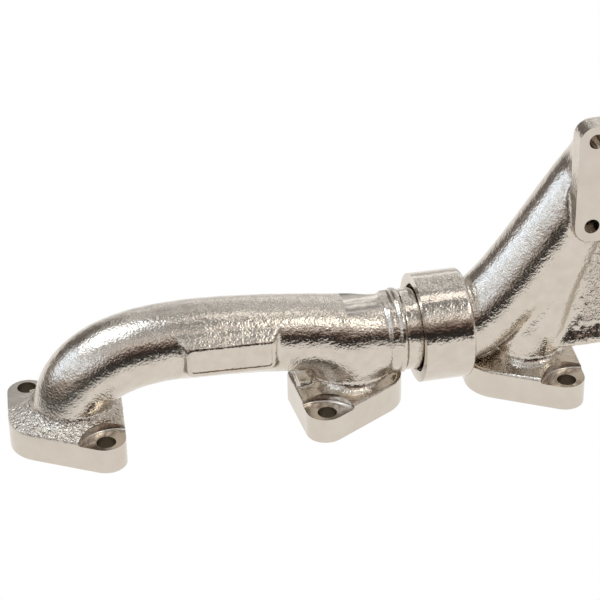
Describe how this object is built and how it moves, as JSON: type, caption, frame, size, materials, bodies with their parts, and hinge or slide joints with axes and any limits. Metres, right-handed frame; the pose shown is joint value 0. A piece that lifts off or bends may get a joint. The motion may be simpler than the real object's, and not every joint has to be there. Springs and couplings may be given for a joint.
{
  "type": "exhaust manifold",
  "caption": "Three-piece cast exhaust manifold for an in-line six, with sliding spigot joints, ported head flanges and a divided turbine inlet flange.",
  "frame": {"origin": "middle of the row of ports, on the plane of the port flange faces", "axes": "+X along the row of ports, +Z away from the cylinder head, -Y out of the turbine inlet flange"},
  "size_m": [0.9412, 0.0998, 0.2135],
  "materials": {
    "cast_coating": "bright metallic ceramic coating on cast iron",
    "ring_metal": "ground, bare"
  },
  "bodies": {
    "centre": {"centre_section": "cast_coating"},
    "left_rings": {"left_seal_ring_1": "ring_metal", "left_seal_ring_2": "ring_metal", "left_seal_ring_3": "ring_metal"},
    "left_end": {"left_section": "cast_coating"},
    "right_rings": {"right_seal_ring_1": "ring_metal", "right_seal_ring_2": "ring_metal", "right_seal_ring_3": "ring_metal"},
    "right_end": {"right_section": "cast_coating"}
  },
  "joints": [
    {"name": "left_slip", "type": "slide", "parent": "centre", "child": "left_rings", "axis": [1, 0, 0], "range_m": [-0.005, 0.003]},
    {"name": "left_swivel", "type": "hinge", "parent": "left_rings", "child": "left_end", "pos_m": [-0.166, 0, 0.0536], "axis": [1, 0, 0], "continuous": true},
    {"name": "right_slip", "type": "slide", "parent": "centre", "child": "right_rings", "axis": [-1, 0, 0], "range_m": [-0.005, 0.003]},
    {"name": "right_swivel", "type": "hinge", "parent": "right_rings", "child": "right_end", "pos_m": [0.166, 0, 0.0536], "axis": [1, 0, 0], "continuous": true}
  ]
}
